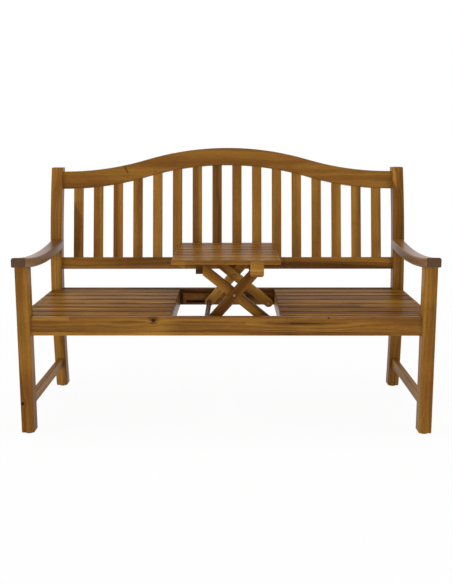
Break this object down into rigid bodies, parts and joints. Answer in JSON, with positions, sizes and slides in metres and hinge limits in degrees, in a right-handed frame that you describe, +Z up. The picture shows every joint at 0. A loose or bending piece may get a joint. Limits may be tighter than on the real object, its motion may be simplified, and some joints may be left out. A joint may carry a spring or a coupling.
{
  "type": "companion seat bench",
  "caption": "Wooden companion bench with an arched slatted back, open slatted seats and a slatted table between them that lifts on crossed legs or folds level with the seat.",
  "frame": {"origin": "on the ground, under the middle of the bench's length and depth", "axes": "+X along the bench to the right of somebody who faces it, +Y from the front to the back, +Z up"},
  "size_m": [1.44, 0.677, 0.9935],
  "materials": {
    "oiled_acacia": "satin oil",
    "dowel_wood": "raw",
    "zinc_plated_steel": "satin zinc",
    "glide_plastic": "matt",
    "spacer_plastic": "matt"
  },
  "bodies": {
    "frame": {"front_leg_left": "oiled_acacia", "front_leg_right": "oiled_acacia", "rear_post_left": "oiled_acacia", "rear_post_right": "oiled_acacia", "arm_left": "oiled_acacia", "arm_right": "oiled_acacia", "front_rail": "oiled_acacia", "rear_rail": "oiled_acacia", "side_rail_left": "oiled_acacia", "side_rail_right": "oiled_acacia", "side_stretcher_left": "oiled_acacia", "side_stretcher_right": "oiled_acacia", "crest_rail": "oiled_acacia", "low_back_rail": "oiled_acacia", "inner_bearer_left": "oiled_acacia", "inner_bearer_right": "oiled_acacia", "middle_bearers": "oiled_acacia", "back_slats_1": "oiled_acacia", "back_slats_2": "oiled_acacia", "back_slats_3": "oiled_acacia", "back_slats_4": "oiled_acacia", "back_slats_5": "oiled_acacia", "back_slats_6": "oiled_acacia", "back_slats_7": "oiled_acacia", "back_slats_8": "oiled_acacia", "seat_slats_1": "oiled_acacia", "seat_slats_2": "oiled_acacia", "seat_slats_3": "oiled_acacia", "seat_slats_4": "oiled_acacia", "seat_slats_5": "oiled_acacia", "seat_slats_6": "oiled_acacia", "seat_slats_7": "oiled_acacia", "front_guide": "oiled_acacia", "rear_guide": "oiled_acacia", "hinge_blocks": "oiled_acacia", "frame_bolts": "zinc_plated_steel", "frame_spacers": "spacer_plastic", "block_screws": "zinc_plated_steel", "seat_dowels": "dowel_wood", "foot_glides": "glide_plastic"},
    "inner_legs": {"inner_leg_front": "oiled_acacia", "inner_leg_rear": "oiled_acacia", "cross_bolts": "zinc_plated_steel"},
    "outer_legs": {"outer_leg_front": "oiled_acacia", "outer_leg_rear": "oiled_acacia", "slide_rod": "zinc_plated_steel", "spreader_bar": "oiled_acacia"},
    "table": {"table_slat_1": "oiled_acacia", "table_slat_2": "oiled_acacia", "table_slat_3": "oiled_acacia", "table_slat_4": "oiled_acacia", "table_slat_5": "oiled_acacia", "table_slat_6": "oiled_acacia", "table_slat_7": "oiled_acacia", "table_batten_left": "oiled_acacia", "table_batten_right": "oiled_acacia", "table_tab": "oiled_acacia", "table_rear_bracket": "oiled_acacia", "table_pins": "zinc_plated_steel", "table_dowels": "dowel_wood"}
  },
  "joints": [
    {"name": "table_lift", "type": "hinge", "parent": "frame", "child": "inner_legs", "pos_m": [0.168, -0.0235, 0.375], "axis": [0, -1, 0], "range_deg": [0, 36.95]},
    {"name": "leg_cross", "type": "hinge", "parent": "inner_legs", "child": "outer_legs", "pos_m": [0.0291, -0.0235, 0.4885], "axis": [0, 1, 0], "range_deg": [0, 82.52]},
    {"name": "table_hinge", "type": "hinge", "parent": "outer_legs", "child": "table", "pos_m": [0.1111, -0.0235, 0.5805], "axis": [0, -1, 0], "range_deg": [0, 45.57]}
  ],
  "couplings": [
    {"joint": "leg_cross", "follows": "table_lift", "ratio": 2.2333},
    {"joint": "table_hinge", "follows": "table_lift", "ratio": 1.2333}
  ]
}
